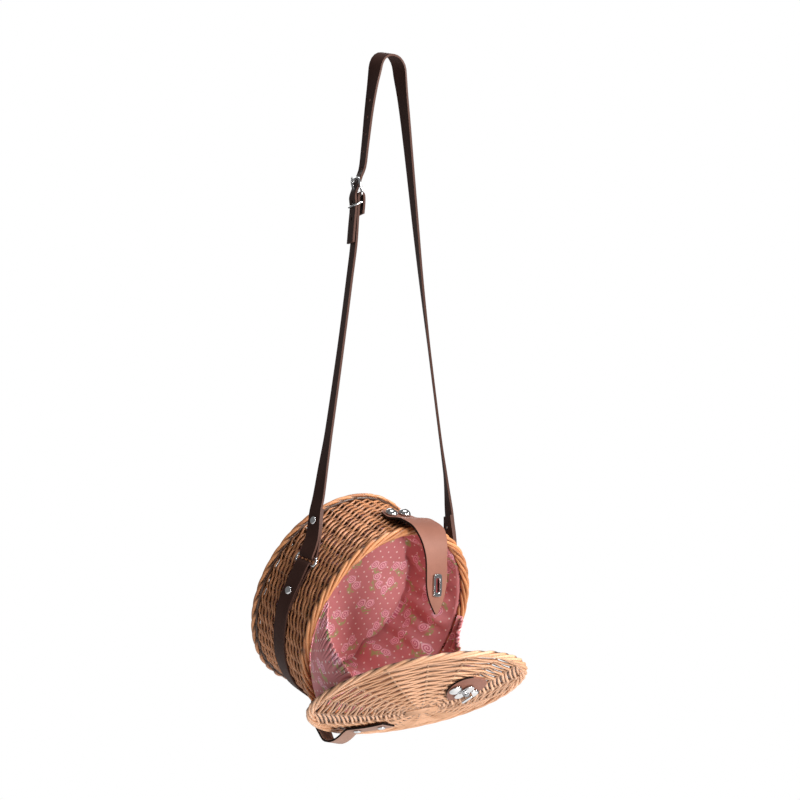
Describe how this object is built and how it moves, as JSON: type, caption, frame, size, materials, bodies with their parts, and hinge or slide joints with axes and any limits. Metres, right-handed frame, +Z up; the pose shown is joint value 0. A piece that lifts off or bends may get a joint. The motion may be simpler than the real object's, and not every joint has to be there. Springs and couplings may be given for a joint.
{
  "type": "round wicker shoulder basket",
  "caption": "Round wicker shoulder basket on its side, with a domed lid part way open, printed cloth lining, leather strap with buckle, closing flap and turn lock.",
  "frame": {"origin": "top of the shoulder strap, where the bag hangs", "axes": "+Z up, the bag's mouth faces -Y, the hinge line of the lid runs along X"},
  "size_m": [0.2215, 0.2678, 0.6978],
  "materials": {
    "wicker": "woven willow rods, varnished honey brown",
    "printed_cloth": "matte cotton with printed roses and small dots",
    "strap_leather": "dark brown, soft sheen",
    "flap_leather": "mid brown, soft sheen",
    "chrome": "polished"
  },
  "bodies": {
    "bag": {"drum_wall": "wicker", "drum_front_border": "wicker", "drum_back_border": "wicker", "drum_back": "wicker", "lining": "printed_cloth", "lid_border": "wicker", "lid_disc": "wicker", "gusset_left": "printed_cloth", "gusset_right": "printed_cloth", "ring_left": "chrome", "ring_right": "chrome", "side_band": "strap_leather", "band_rivet_left": "chrome", "band_rivet_right": "chrome", "buckle_prong": "chrome", "buckle_frame": "chrome", "keeper_loop": "chrome", "shoulder_strap": "strap_leather", "buckle_strap": "strap_leather", "strap_rivet_right": "chrome", "strap_rivet_left": "chrome", "closing_flap": "flap_leather", "slot_plate": "chrome", "flap_rivet_left": "chrome", "flap_rivet_right": "chrome", "lid_patch": "flap_leather", "patch_rivet_left": "chrome", "patch_rivet_right": "chrome", "lock_plate": "chrome", "hinge_strap": "flap_leather", "hinge_rivet_lid_inner": "chrome", "hinge_rivet_lid_outer": "chrome", "hinge_rivet_drum_front": "chrome", "hinge_rivet_drum_back": "chrome"},
    "knob": {"turn_knob": "chrome"}
  },
  "joints": [
    {"name": "knob_turn", "type": "hinge", "parent": "bag", "child": "knob", "pos_m": [0.0076, -0.11391, -0.63574], "axis": [-0.0444, -0.5512, -0.8332], "range_deg": [0, 90]}
  ]
}
